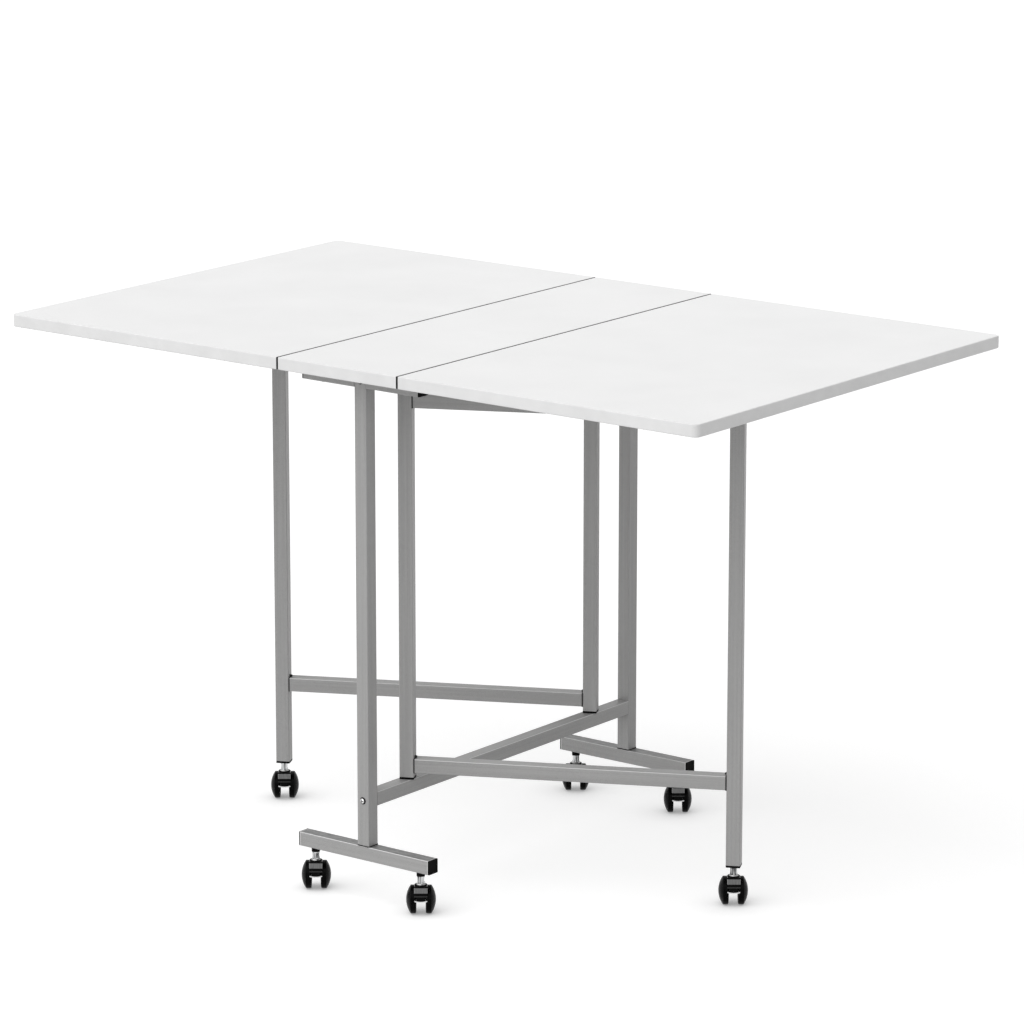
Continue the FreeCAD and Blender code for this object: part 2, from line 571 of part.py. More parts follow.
def caster_wheel(side):
    """Domed wheel with a thin wall, a hub and radial ribs; side is -1 or +1 along Y."""
    inner_face = WHEEL_GAP / 2.0
    tread_end = inner_face + TREAD_WIDTH
    crown = WHEEL_SPAN / 2.0
    bulge = crown - tread_end
    dome_radius = (WHEEL_RADIUS ** 2 + bulge ** 2) / (2.0 * bulge)
    dome_centre = crown - dome_radius
    hub_face = BARREL_LENGTH / 2.0 + FACE_GAP
    rim_inside = WHEEL_RADIUS - RIM_THICKNESS
    hub_radius = WHEEL_HUB_DIAMETER / 2.0

    drum = Part.makeCylinder(WHEEL_RADIUS, crown - inner_face, Vector(0, inner_face, 0), ALONG_Y)
    inner_rim = [edge for edge in drum.Edges if edge.BoundBox.YMax < inner_face + FACE_GAP]
    drum = drum.makeFillet(RIM_EDGE_RADIUS, inner_rim)
    dome = Part.makeSphere(dome_radius, Vector(0, dome_centre, 0), ALONG_Y)
    wheel = drum.common(dome)

    pocket_drum = Part.makeCylinder(rim_inside, crown, CENTRE, ALONG_Y)
    pocket_dome = Part.makeSphere(dome_radius - WHEEL_WALL, Vector(0, dome_centre, 0), ALONG_Y)
    pocket = pocket_drum.common(pocket_dome)
    hub = Part.makeCylinder(hub_radius, crown, Vector(0, hub_face, 0), ALONG_Y)
    ribs = []
    for i in range(WHEEL_RIBS):
        rib = Part.makeBox(rim_inside, crown, WHEEL_RIB_THICKNESS)
        rib.translate(Vector(0, hub_face + FACE_GAP, -WHEEL_RIB_THICKNESS / 2.0))
        rib.rotate(CENTRE, ALONG_Y, 360.0 * i / WHEEL_RIBS)
        ribs.append(rib)
    wheel = wheel.cut(pocket.cut(ribs + [hub]))
    bore_length = hub_face + AXLE_REACH + FACE_GAP
    wheel = wheel.cut(rod(AXLE_DIAMETER + 2.0 * RUNNING_CLEARANCE, CENTRE, bore_length, ALONG_Y))
    if side < 0:
        wheel.rotate(CENTRE, UP, 180)
    wheel.translate(Vector(CASTER_TRAIL, 0, WHEEL_RADIUS))
    return wheel


def bracket_strip():
    """Sheet steel strip bent over the front of a caster, with its outer edges rounded."""
    half_width = BRACKET_WIDTH / 2.0
    plate_bottom = BRACKET_TOP - BRACKET_PLATE
    front_inside = -BRACKET_FRONT + BRACKET_PLATE
    plate_reach = SOCKET_DIAMETER / 2.0
    bend = [
        Vector(-BRACKET_FRONT, -half_width, BRACKET_FRONT_BOTTOM),
        Vector(-BRACKET_FRONT, -half_width, BRACKET_TOP),
        Vector(plate_reach, -half_width, BRACKET_TOP),
        Vector(plate_reach, -half_width, plate_bottom),
        Vector(front_inside, -half_width, plate_bottom),
        Vector(front_inside, -half_width, BRACKET_FRONT_BOTTOM),
    ]
    strip = Part.Face(Part.makePolygon(bend + bend[:1])).extrude(ALONG_Y * BRACKET_WIDTH)
    outer_bend = [edge for edge in strip.Edges
                  if edge.BoundBox.XMax < -BRACKET_FRONT + 0.01 and edge.BoundBox.ZMin > BRACKET_TOP - 0.01]
    strip = strip.makeFillet(1.5 * BRACKET_PLATE, outer_bend)
    side_edges = [edge for edge in strip.Edges
                  if edge.BoundBox.XMax < -BRACKET_FRONT + 0.01 and edge.BoundBox.YLength < 0.01]
    return strip.makeFillet(BRACKET_EDGE_RADIUS, side_edges)


def bracket_cheeks():
    """Two upright cheeks that carry the front plate, the web and the axle barrel."""
    barrel_radius = BARREL_DIAMETER / 2.0
    plate_bottom = BRACKET_TOP - BRACKET_PLATE
    front_inside = -BRACKET_FRONT + BRACKET_PLATE
    outline = [
        Vector(front_inside, 0, plate_bottom),
        Vector(front_inside, 0, BRACKET_FRONT_BOTTOM),
        Vector(BRACKET_WEB_FRONT, 0, BRACKET_FRONT_BOTTOM),
        Vector(BRACKET_WEB_FRONT, 0, LIP_BOTTOM),
        Vector(CASTER_TRAIL, 0, BARREL_BOTTOM),
        Vector(CASTER_TRAIL + barrel_radius * 0.7, 0, WHEEL_RADIUS + barrel_radius * 0.7),
        Vector(SOCKET_DIAMETER / 2.0, 0, plate_bottom),
    ]
    cheeks = []
    for start_y in (-CHEEK_SPAN / 2.0, CHEEK_SPAN / 2.0 - BRACKET_PLATE):
        face = Part.Face(Part.makePolygon(outline + outline[:1]))
        face.translate(ALONG_Y * start_y)
        cheeks.append(face.extrude(ALONG_Y * BRACKET_PLATE))
    return cheeks


def lip_outline(start_x):
    """Smile-shaped band in the YZ plane: the end view of the bracket's lower lip."""
    left = Vector(start_x, -LIP_WIDTH / 2.0, LIP_BOTTOM + LIP_RISE)
    middle = Vector(start_x, 0, LIP_BOTTOM)
    right = Vector(start_x, LIP_WIDTH / 2.0, LIP_BOTTOM + LIP_RISE)
    raised = [point + UP * LIP_THICKNESS for point in (left, middle, right)]
    arcs = [Part.Arc(left, middle, right).toShape(), Part.Arc(*raised).toShape()]
    ends = [Part.makeLine(left, raised[0]), Part.makeLine(right, raised[2])]
    return Part.Face(Part.Wire(Part.__sortEdges__(arcs + ends)))


def bracket_chin():
    """Web between the cheeks with a straight rib above and a curved lip below.

    The rib and the lip reach forward past the front of the wheels, and only there are they
    wider than the cheeks.
    """
    chin_height = RIB_TOP - LIP_BOTTOM
    chin_depth = BRACKET_WEB_SETBACK + BRACKET_PLATE
    front_corner = Vector(-BRACKET_FRONT, -CHEEK_SPAN / 2.0, LIP_BOTTOM)
    room = Part.makeBox(chin_depth, CHEEK_SPAN, chin_height, front_corner)
    web_corner = Vector(BRACKET_WEB_FRONT, -CHEEK_SPAN / 2.0, LIP_BOTTOM)
    web = Part.makeBox(BRACKET_PLATE, CHEEK_SPAN, chin_height, web_corner)

    rib_corner = Vector(-BRACKET_FRONT, -BRACKET_WIDTH / 2.0, RIB_TOP - RIB_THICKNESS)
    rib = Part.makeBox(BRACKET_PLATE, BRACKET_WIDTH, RIB_THICKNESS, rib_corner)
    rib_root = Part.makeBox(chin_depth, BRACKET_WIDTH, RIB_THICKNESS, rib_corner).common(room)
    lip = lip_outline(-BRACKET_FRONT).extrude(ALONG_X * BRACKET_PLATE)
    lip_root = lip_outline(-BRACKET_FRONT).extrude(ALONG_X * chin_depth).common(room)
    return [web, rib, rib_root, lip, lip_root]


def caster_bracket():
    """Steel bracket: bent strip, cheeks, chin, stem socket with its collar, and axle barrel."""
    pieces = bracket_cheeks() + bracket_chin()
    pieces.append(rod(SOCKET_DIAMETER, Vector(0, 0, SOCKET_BOTTOM), SOCKET_DEPTH))
    pieces.append(Part.makeCone(COLLAR_BASE_DIAMETER / 2.0, COLLAR_TOP_DIAMETER / 2.0,
                                COLLAR_HEIGHT, Vector(0, 0, BRACKET_TOP)))
    barrel_start = Vector(CASTER_TRAIL, -BARREL_LENGTH / 2.0, WHEEL_RADIUS)
    pieces.append(rod(BARREL_DIAMETER, barrel_start, BARREL_LENGTH, ALONG_Y))
    bracket = bracket_strip().fuse(pieces).removeSplitter()

    journal_hole = STEM_JOURNAL_DIAMETER + 2.0 * RUNNING_CLEARANCE
    journal_bottom = STEM_SEAT_BOTTOM - STEM_JOURNAL_LENGTH - FACE_GAP
    socket_bore = rod(journal_hole, Vector(0, 0, journal_bottom), TABLE_HEIGHT)
    axle_bore = rod(AXLE_DIAMETER, barrel_start, BARREL_LENGTH, ALONG_Y)
    return bracket.cut([socket_bore, axle_bore])


def caster_axle():
    """Plain axle, fixed in the bracket and free in both wheels."""
    half_length = BARREL_LENGTH / 2.0 + FACE_GAP + AXLE_REACH
    start = Vector(CASTER_TRAIL, -half_length, WHEEL_RADIUS)
    return rod(AXLE_DIAMETER, start, 2.0 * half_length, ALONG_Y)


def caster_stem():
    """Stem: journal in the bracket, seat, hexagon, flange and the shank that is screwed in."""
    seat_top = STEM_SEAT_BOTTOM + STEM_SEAT_THICKNESS
    hex_top = CASTER_HEIGHT - STEM_FLANGE_THICKNESS
    journal = rod(STEM_JOURNAL_DIAMETER, Vector(0, 0, STEM_SEAT_BOTTOM - STEM_JOURNAL_LENGTH),
                  STEM_JOURNAL_LENGTH)
    seat = rod(STEM_SEAT_DIAMETER, Vector(0, 0, STEM_SEAT_BOTTOM), STEM_SEAT_THICKNESS)
    spanner_hex = hexagon(STEM_HEX_SIZE, Vector(0, 0, seat_top), hex_top - seat_top)
    flange = rod(STEM_FLANGE_DIAMETER, Vector(0, 0, hex_top), STEM_FLANGE_THICKNESS)
    shank = rod(STEM_SHANK_DIAMETER, Vector(0, 0, CASTER_HEIGHT), WASHER_HEIGHT + STEM_SHANK_REACH)
    return journal.fuse([seat, spanner_hex, flange, shank])


def stem_washer():
    """Thick plastic washer between the flange of a stem and the foot bar."""
    washer = rod(WASHER_DIAMETER, Vector(0, 0, CASTER_HEIGHT), WASHER_HEIGHT)
    return washer.cut(rod(STEM_SHANK_DIAMETER + 2.0 * FIT_CLEARANCE, CENTRE, FOOT_BAR_TOP))


def stem_nut():
    """Weld nut inside a foot bar."""
    nut = hexagon(NUT_SIZE, Vector(0, 0, FOOT_BAR_BOTTOM + TUBE_WALL), NUT_HEIGHT)
    return nut.cut(rod(STEM_SHANK_DIAMETER + 2.0 * FIT_CLEARANCE, CENTRE, FOOT_BAR_TOP))


def headed(shape, place):
    """Turn a caster shape from its own frame, where it trails along +X, and put it at place."""
    copy = shape.copy()
    copy.rotate(CENTRE, UP, CASTER_HEADING)
    copy.translate(place)
    return copy


def make_casters():
    open_angle = math.radians(GATE_OPEN_ANGLE)
    gate_place = Vector(GATE_WIDTH * math.cos(open_angle), GATE_WIDTH * math.sin(open_angle) - PIVOT_Y, 0)
    places = foot_caster_places()
    stem = caster_stem()
    nut = stem_nut()
    washer = stem_washer()
    save("foot_caster_stems", [headed(stem, place) for place in places.values()])
    save("foot_caster_nuts", [headed(nut, place) for place in places.values()])
    save("foot_caster_washers", [headed(washer, place) for place in places.values()])
    save("right_gate_caster_stem", [headed(stem, gate_place)])
    save("left_gate_caster_stem", [headed(stem, gate_place * -1.0)])

    places["right_gate"] = gate_place
    places["left_gate"] = gate_place * -1.0
    bracket = caster_bracket()
    axle = caster_axle()
    wheels = [caster_wheel(-1), caster_wheel(1)]
    for name, place in places.items():
        save(name + "_caster_bracket", [headed(bracket, place)])
        save(name + "_caster_axle", [headed(axle, place)])
        save(name + "_caster_wheels", [headed(wheel, place) for wheel in wheels])


os.makedirs("parts", exist_ok=True)
make_top()
make_hinges()
make_frame()
make_gates()
make_casters()
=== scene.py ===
# %% [markdown]
# # A folding sewing and cutting table
#
# The table's construction arrives from CAD at its real size: three boards, a frame of square
# tube, two swinging gates and six casters.  Every one of those pieces is already in its place.
# Blender's work is the finish of each surface, and the small shapes that a designer leaves out
# of the construction, such as weld beads.
#
# Everything is in metres, with +Z up and the origin on the floor under the middle of the top.

import json
import math

import bmesh
import bpy
from mathutils import Matrix, Vector


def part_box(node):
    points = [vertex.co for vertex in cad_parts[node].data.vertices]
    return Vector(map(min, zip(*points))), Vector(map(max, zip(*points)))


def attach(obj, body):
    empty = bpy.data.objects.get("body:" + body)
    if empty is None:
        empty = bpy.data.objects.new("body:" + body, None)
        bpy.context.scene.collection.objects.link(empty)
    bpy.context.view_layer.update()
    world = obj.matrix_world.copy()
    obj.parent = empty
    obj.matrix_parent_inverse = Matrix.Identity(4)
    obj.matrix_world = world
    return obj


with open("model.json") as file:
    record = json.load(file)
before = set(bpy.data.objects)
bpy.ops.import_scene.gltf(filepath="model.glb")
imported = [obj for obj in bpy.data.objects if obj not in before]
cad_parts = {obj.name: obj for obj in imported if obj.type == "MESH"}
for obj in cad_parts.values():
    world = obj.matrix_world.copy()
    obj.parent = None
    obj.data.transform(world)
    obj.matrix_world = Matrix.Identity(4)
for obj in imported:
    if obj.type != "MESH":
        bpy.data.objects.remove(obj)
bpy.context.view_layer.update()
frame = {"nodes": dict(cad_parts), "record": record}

# %% [markdown]
# ## The camera
#
# Catalogue pictures of furniture are taken from far away with a long lens, because that keeps
# upright posts upright and parallel edges nearly parallel.  The camera could be placed by hand,
# but it is easier to say where it looks, from which side, how high and how far, and to let a
# little trigonometry place it.

# %% Place the camera
VIEW_TARGET = Vector((0.0241, 0.0, 0.6333))
VIEW_AZIMUTH = math.radians(37.5)
VIEW_ELEVATION = math.radians(13.5)
VIEW_DISTANCE = 9.078
VIEW_END = 100.0
LENS_LENGTH = 179.7
SENSOR_WIDTH = 36.0


def place_camera():
    """Camera that looks at the target; azimuth 0 looks along +Y."""
    towards_camera = Vector((
        math.sin(VIEW_AZIMUTH) * math.cos(VIEW_ELEVATION),
        -math.cos(VIEW_AZIMUTH) * math.cos(VIEW_ELEVATION),
        math.sin(VIEW_ELEVATION),
    ))
    data = bpy.data.cameras.new("studio_camera")
    data.lens = LENS_LENGTH
    data.sensor_width = SENSOR_WIDTH
    data.clip_end = VIEW_END
    camera = bpy.data.objects.new("studio_camera", data)
    bpy.context.scene.collection.objects.link(camera)
    camera.location = VIEW_TARGET + towards_camera * VIEW_DISTANCE
    camera.rotation_euler = towards_camera.to_track_quat("Z", "Y").to_euler()
    bpy.context.scene.camera = camera
    return camera


camera = place_camera()
print("Camera at", tuple(round(value, 3) for value in camera.location))

# %% [markdown]
# ## Shader nodes in one line
#
# A material is a small network of nodes.  Each node could be made, set and linked in lines of
# its own, but the same few steps come back hundreds of times.  One helper takes them all over:
# what it is given for a socket is linked when it is another node's output, and set when it is a
# plain value.

# %% Helpers for nodes
def add_node(tree, kind, inputs, **settings):
    """Shader node with its settings made and its inputs set or linked."""
    node = tree.nodes.new(kind)
    for setting, value in settings.items():
        setattr(node, setting, value)
    for socket, value in inputs.items():
        if isinstance(value, bpy.types.NodeSocket):
            tree.links.new(value, node.inputs[socket])
        else:
            node.inputs[socket].default_value = value
    return node


def maths(tree, operation, first, second=0.0):
    """Result of one operation on two values."""
    return add_node(tree, "ShaderNodeMath", {0: first, 1: second}, operation=operation).outputs[0]


def grey(tone, warmth=0.0):
    """Nearly neutral colour; warmth tips it towards yellow, or blue where negative."""
    return (tone * (1.0 + warmth), tone, tone * (1.0 - warmth), 1.0)


print("Mid grey is", grey(0.5))

# %% [markdown]
# ## The studio
#
# The table stands in a white room with light from everywhere, a little more of it from above
# and from the front.  An even world light alone would look flat, and lamps alone would throw
# hard shadows, so the two are mixed: the world fills, and one very large soft sun gives the top
# its brightness.  The backdrop is pure white only where the camera sees it, so it doesn't add
# light to the table.

# %% Light the room
WORLD_LIGHT = 0.52
BACKDROP_LIGHT = 1.0
SUN_LIGHT = 2.0
SUN_TILT = math.radians(46)
SUN_TURN = math.radians(-12)
SUN_SOFTNESS = math.radians(80)


def seen_directly(tree):
    """1 for rays from the camera, from mirrors and through glass, 0 for the rest."""
    path = tree.nodes.new("ShaderNodeLightPath").outputs
    shiny = maths(tree, "MAXIMUM", path["Is Camera Ray"], path["Is Glossy Ray"])
    return maths(tree, "MAXIMUM", shiny, path["Is Transmission Ray"])


def light_the_world():
    """White world that lights the table less than it shows."""
    world = bpy.data.worlds.new("white_room")
    bpy.context.scene.world = world
    world.use_nodes = True
    tree = world.node_tree
    background = tree.nodes["Background"]
    background.inputs["Color"].default_value = grey(1.0)
    strength = add_node(tree, "ShaderNodeMapRange", {
        "Value": seen_directly(tree),
        "To Min": WORLD_LIGHT,
        "To Max": BACKDROP_LIGHT,
    })
    tree.links.new(strength.outputs["Result"], background.inputs["Strength"])
    return world


def add_sun():
    """Sun so wide that its shadows have no edge."""
    data = bpy.data.lights.new("soft_sun", "SUN")
    data.energy = SUN_LIGHT
    data.angle = SUN_SOFTNESS
    sun = bpy.data.objects.new("soft_sun", data)
    bpy.context.scene.collection.objects.link(sun)
    sun.rotation_euler = (SUN_TILT, 0.0, SUN_TURN)
    return sun


bpy.context.scene.view_settings.view_transform = "Standard"
print("Light:", light_the_world().name, "and", add_sun().name)

# %% [markdown]
# ## The floor
#
# A plain floor catches the soft shadows.  It glows a little where it is seen, which keeps it
# pale, but the same glow would wash out the small shadows under the wheels.  So the glow fades
# within a few centimetres of anything that stands on the floor.  Ambient occlusion, which tells
# how much a spot is closed in, does that without a list of the wheels' places.

# %% Lay the floor
FLOOR_REACH = 30.0
FLOOR_TONE = 0.58
FLOOR_GLOW = 0.56
CONTACT_SHARE = 0.35
CONTACT_REACH = 0.07
CONTACT_SAMPLES = 8


def make_floor_finish():
    """Pale matt floor that glows where it is seen."""
    material = bpy.data.materials.new("studio_floor")
    material.use_nodes = True
    tree = material.node_tree
    tree.nodes.clear()
    diffuse = add_node(tree, "ShaderNodeBsdfDiffuse", {"Color": grey(FLOOR_TONE)})
    # Painted shadow: the floor's glow is turned down near anything that stands on it.
    nearby = add_node(tree, "ShaderNodeAmbientOcclusion", {"Distance": CONTACT_REACH},
                      samples=CONTACT_SAMPLES)
    glow_left = add_node(tree, "ShaderNodeMapRange", {
        "Value": nearby.outputs["AO"],
        "To Min": FLOOR_GLOW * CONTACT_SHARE,
        "To Max": FLOOR_GLOW,
    })
    glow = add_node(tree, "ShaderNodeEmission", {
        "Strength": maths(tree, "MULTIPLY", seen_directly(tree), glow_left.outputs["Result"]),
    })
    both = add_node(tree, "ShaderNodeAddShader", {0: diffuse.outputs[0], 1: glow.outputs[0]})
    add_node(tree, "ShaderNodeOutputMaterial", {"Surface": both.outputs[0]})
    return material


def lay_floor():
    """Square of floor, as studio and not as a piece of the table."""
    shape = bmesh.new()
    bmesh.ops.create_grid(shape, x_segments=1, y_segments=1, size=FLOOR_REACH)
    mesh = bpy.data.meshes.new("floor")
    shape.to_mesh(mesh)
    shape.free()
    mesh.materials.append(make_floor_finish())
    floor = bpy.data.objects.new("floor", mesh)
    bpy.context.scene.collection.objects.link(floor)
    return floor


print("Laid:", lay_floor().name)

# %% [markdown]
# ## Finishes: how each one starts
#
# Each finish is a Principled shader with its colour, roughness and bump driven by noise.  An
# image of the surface would be quicker, but it would stretch on some pieces and run out of
# detail close up.  Noise that reads the Object coordinates has the same scale on every piece,
# because all pieces share one origin.  The scale is then in grains per metre.

# %% Helpers for finishes
NOISE_SPAN = (0.3, 0.7)
FULL_SPAN = (0.0, 1.0)
FINE_STEP = 0.0002
FINISHES = {}


def start_finish(name, metallic=0.0, specular=0.5):
    """New material, its tree, its shader and the Object coordinates."""
    material = bpy.data.materials.new(name)
    material.use_nodes = True
    tree = material.node_tree
    shader = tree.nodes["Principled BSDF"]
    shader.inputs["Metallic"].default_value = metallic
    shader.inputs["Specular IOR Level"].default_value = specular
    place = tree.nodes.new("ShaderNodeTexCoord").outputs["Object"]
    return material, tree, shader, place


def lay_skin(tree, shader, colour, roughness):
    """Links a colour and a roughness to the shader."""
    tree.links.new(colour, shader.inputs["Base Color"])
    tree.links.new(roughness, shader.inputs["Roughness"])


def raise_bump(tree, shader, height, depth):
    """Relief whose full height, depth, is in metres."""
    bump = add_node(tree, "ShaderNodeBump", {"Height": height, "Distance": depth, "Strength": 1.0})
    tree.links.new(bump.outputs["Normal"], shader.inputs["Normal"])


def grain(tree, place, scale, detail=2.0):
    """Soft random value with about scale grains per metre."""
    node = add_node(tree, "ShaderNodeTexNoise", {"Vector": place, "Scale": scale, "Detail": detail})
    return node.outputs["Fac"]


def pebbles(tree, place, scale):
    """Rounded hollows and rims, about scale of them per metre."""
    node = add_node(tree, "ShaderNodeTexVoronoi", {"Vector": place, "Scale": scale},
                    feature="SMOOTH_F1")
    return node.outputs["Distance"]


def stretched(tree, place, stretch):
    """Coordinates scaled by a different amount along each axis."""
    node = add_node(tree, "ShaderNodeMapping", {"Vector": place, "Scale": stretch})
    return node.outputs["Vector"]


def between(tree, value, low, high, span=NOISE_SPAN):
    """Maps the span of a value, or else the middle of a noise's range, to low and high."""
    return add_node(tree, "ShaderNodeMapRange", {
        "Value": value,
        "From Min": span[0],
        "From Max": span[1],
        "To Min": low,
        "To Max": high,
    }).outputs["Result"]


def blend_colours(tree, factor, first, second):
    """First colour where the factor is 0, second where it is 1."""
    node = add_node(tree, "ShaderNodeMix", {0: factor, 6: first, 7: second}, data_type="RGBA")
    return node.outputs[2]


def parts_of(tree, vector):
    """X, Y and Z of a vector."""
    return add_node(tree, "ShaderNodeSeparateXYZ", {"Vector": vector}).outputs


def from_middle(tree, place, axis):
    """Distance from the table's middle along one axis."""
    return maths(tree, "ABSOLUTE", parts_of(tree, place)[axis])


def facing(tree):
    """Direction that the surface faces."""
    return tree.nodes.new("ShaderNodeTexCoord").outputs["Normal"]


print("A noise is read from", NOISE_SPAN[0], "to", NOISE_SPAN[1])

# %% [markdown]
# ## White laminate
#
# The boards are chipboard under a white melamine laminate.  Pressing leaves a very fine pearl
# texture and the gloss changes slightly from place to place.  The colour differences are kept
# so small that they show only as life in the white.

# %% White laminate
def make_laminate():
    """White with faint clouds, smudged gloss and a pearl texture."""
    material, tree, shader, place = start_finish("white_laminate")
    cloud = grain(tree, place, scale=5.0, detail=3.0)
    smudge = grain(tree, place, scale=14.0, detail=4.0)
    pearl = grain(tree, place, scale=850.0, detail=1.0)
    white = blend_colours(tree, between(tree, cloud, 0.0, 1.0), grey(0.855), grey(0.885))
    lay_skin(tree, shader, white, between(tree, smudge, 0.36, 0.5))
    raise_bump(tree, shader, pearl, depth=0.00005)
    return material


FINISHES["white_board"] = make_laminate()
print("Finishes so far:", list(FINISHES))

# %% [markdown]
# ## Edge band
#
# A thin plastic strip is glued round each board.  It is a shade greyer than the laminate, and
# because it is extruded, it has faint lines that run along it.  Stretching a noise flat gives
# those lines on every side at once, because every strip lies level.
#
# Both strips are painted near black where two boards meet, as painted shade in the narrow seam.
# The seams run along Y, and the distance from them can be read from X alone.

# %% Edge band
SEAM_X = (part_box("centre_panel_edge_band")[1][0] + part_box("right_leaf_edge_band")[0][0]) / 2.0
SEAM_DARK_REACH = 0.0022
SEAM_SPAN = (SEAM_DARK_REACH - FINE_STEP, SEAM_DARK_REACH)
BAND_STRETCH = (6.0, 6.0, 900.0)


def make_edge_band():
    """Pale grey strip with fine level lines, with painted shade in the seams between the boards."""
    material, tree, shader, place = start_finish("edge_band")
    lines = grain(tree, stretched(tree, place, BAND_STRETCH), scale=1.0, detail=3.0)
    patches = grain(tree, place, scale=30.0)
    clean = blend_colours(tree, between(tree, patches, 0.0, 1.0), grey(0.74), grey(0.79))
    from_seam = maths(tree, "SUBTRACT", from_middle(tree, place, "X"), SEAM_X)
    # Painted shade: near black within a couple of millimetres of each seam.
    seam_shade = between(tree, maths(tree, "ABSOLUTE", from_seam), 1.0, 0.0, SEAM_SPAN)
    colour = blend_colours(tree, seam_shade, clean, grey(0.015))
    lay_skin(tree, shader, colour, between(tree, lines, 0.38, 0.55))
    raise_bump(tree, shader, lines, depth=0.00008)
    return material


FINISHES["edge_band"] = make_edge_band()
print("Seams at X = +-", round(SEAM_X, 5))

# %% [markdown]
# ## Corners of a tube
#
# A tube's rounded corners get painted shade where they face down and a painted highlight where
# they face up.  That could be painted by hand, but a corner can also be found: it is where the
# surface faces along none of the tube's own axes.  So the facing direction is turned square to
# X, Y and Z, and its largest part is close to 1 on the flats and falls off round each corner.

# %% Find the corners
CORNER_SPAN = (0.84, 0.985)


def find_corners(tree, normal, turn):
    """1 on the rounded corners of a piece that turn makes square to X, Y and Z, 0 on its flats."""
    turned = add_node(tree, "ShaderNodeMapping", {"Vector": normal, "Rotation": turn},
                      vector_type="VECTOR")
    steepness = add_node(tree, "ShaderNodeVectorMath", {0: turned.outputs["Vector"]},
                         operation="ABSOLUTE")
    along = parts_of(tree, steepness.outputs["Vector"])
    largest = maths(tree, "MAXIMUM", maths(tree, "MAXIMUM", along["X"], along["Y"]), along["Z"])
    return between(tree, largest, 1.0, 0.0, CORNER_SPAN)


print("Corners start where the surface is", round(math.degrees(math.acos(CORNER_SPAN[1]))),
      "degrees off every axis")

# %% [markdown]
# ## Sawn foot bars with painted shade on top
#
# The foot bars are sawn to length after painting, so a narrow rim at each of their ends is
# bare, and their top faces are painted a patchy darker grey as painted shade.  Both marks follow
# from the place and the facing direction, so they need no painting by hand either.

# %% Marks on the foot bars
SAWN_RIM = 0.0015
SAWN_START_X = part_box("front_foot_bar")[1][0] - SAWN_RIM
SAWN_SPAN = (SAWN_START_X, SAWN_START_X + FINE_STEP)
TOP_SHADE_STRETCH = (60.0, 260.0, 60.0)
TOP_FACE_SPAN = (0.92, 0.99)


def mark_foot_bar(tree, place, normal, skin):
    """Adds the sawn rims and a painted shade on the top face of a foot bar to its skin."""
    patches = grain(tree, stretched(tree, place, TOP_SHADE_STRETCH), scale=1.0, detail=3.0)
    on_top = between(tree, parts_of(tree, normal)["Z"], 0.0, 1.0, TOP_FACE_SPAN)
    # Painted shade: patchy darker grey on the top face.
    top_face_shade = maths(tree, "MULTIPLY", between(tree, patches, 0.35, 1.0), on_top)
    skin = blend_colours(tree, top_face_shade, skin, grey(0.15))
    rim = between(tree, from_middle(tree, place, "X"), 0.0, 1.0, SAWN_SPAN)
    return blend_colours(tree, rim, skin, grey(0.62))


print("Bare rims start at X = +-", round(SAWN_START_X, 5))

# %% [markdown]
# ## Silver paint
#
# The tubes are sprayed with a silver powder paint.  Close up it is a field of tiny metal flakes,
# each turned its own way, under a slightly wavy skin.  From afar the flakes blend into a satin
# grey.  Cells of random brightness stand for the flakes, and a coarser noise for the waves.
#
# One thing comes from the steel under the paint: the tube was drawn through a die, and its long
# fine lines still show, so a noise is stretched along the tube.  And the rounded corners are
# painted darker where they face down, as painted shade, and lighter where they face up, as a
# painted highlight.  Both need to know which way a tube lies, so the same paint is made once
# for each direction.

# %% Silver paint
FLAKES_PER_METRE = 2600.0
WAVES_PER_METRE = 420.0
DRAWN_STRETCH = (330.0, 330.0, 3.0)
LOWER_CORNER_SPAN = (0.1, 0.4)
UPPER_CORNER_SPAN = (0.0, 0.6)
GATE_ANGLE = math.radians(26.5)


def cells(tree, place, scale):
    """Random value that is even within each small cell, as with flakes of pigment."""
    node = add_node(tree, "ShaderNodeTexVoronoi", {"Vector": place, "Scale": scale})
    return add_node(tree, "ShaderNodeSeparateColor", {"Color": node.outputs["Color"]}).outputs[0]


def make_silver_paint(name, to_upright, foot_bar=False):
    """Paint for tubes that to_upright turns onto Z, with their sides square to X and Y."""
    material, tree, shader, place = start_finish(name, metallic=0.2, specular=0.3)
    turn = to_upright.to_euler()
    turned = add_node(tree, "ShaderNodeMapping", {"Vector": place, "Rotation": turn})
    drawn_place = stretched(tree, turned.outputs["Vector"], DRAWN_STRETCH)
    flakes = cells(tree, place, scale=FLAKES_PER_METRE)
    drift = between(tree, grain(tree, place, scale=9.0, detail=3.0), 0.0, 0.35)
    drawn = between(tree, grain(tree, drawn_place, scale=1.0, detail=3.0), 0.0, 0.30)
    skin = blend_colours(tree, flakes, grey(0.235, 0.006), grey(0.39, 0.006))
    skin = blend_colours(tree, drift, skin, grey(0.34, 0.01))
    skin = blend_colours(tree, drawn, skin, grey(0.46, 0.006))

    normal = facing(tree)
    corners = find_corners(tree, normal, turn)
    upward = parts_of(tree, normal)["Z"]
    # Painted shade on the corners that face down, painted highlight on those that face up.
    lower_corner_shade = maths(tree, "MULTIPLY", corners, between(tree, upward, 0.4, 0.0, LOWER_CORNER_SPAN))
    upper_corner_highlight = maths(tree, "MULTIPLY", corners, between(tree, upward, 0.25, 1.0, UPPER_CORNER_SPAN))
    skin = blend_colours(tree, lower_corner_shade, skin, grey(0.15))
    skin = blend_colours(tree, upper_corner_highlight, skin, grey(0.64))
    if foot_bar:
        skin = mark_foot_bar(tree, place, normal, skin)
    lay_skin(tree, shader, skin, between(tree, flakes, 0.34, 0.5, FULL_SPAN))
    raise_bump(tree, shader, grain(tree, place, scale=WAVES_PER_METRE), depth=0.00012)
    return material


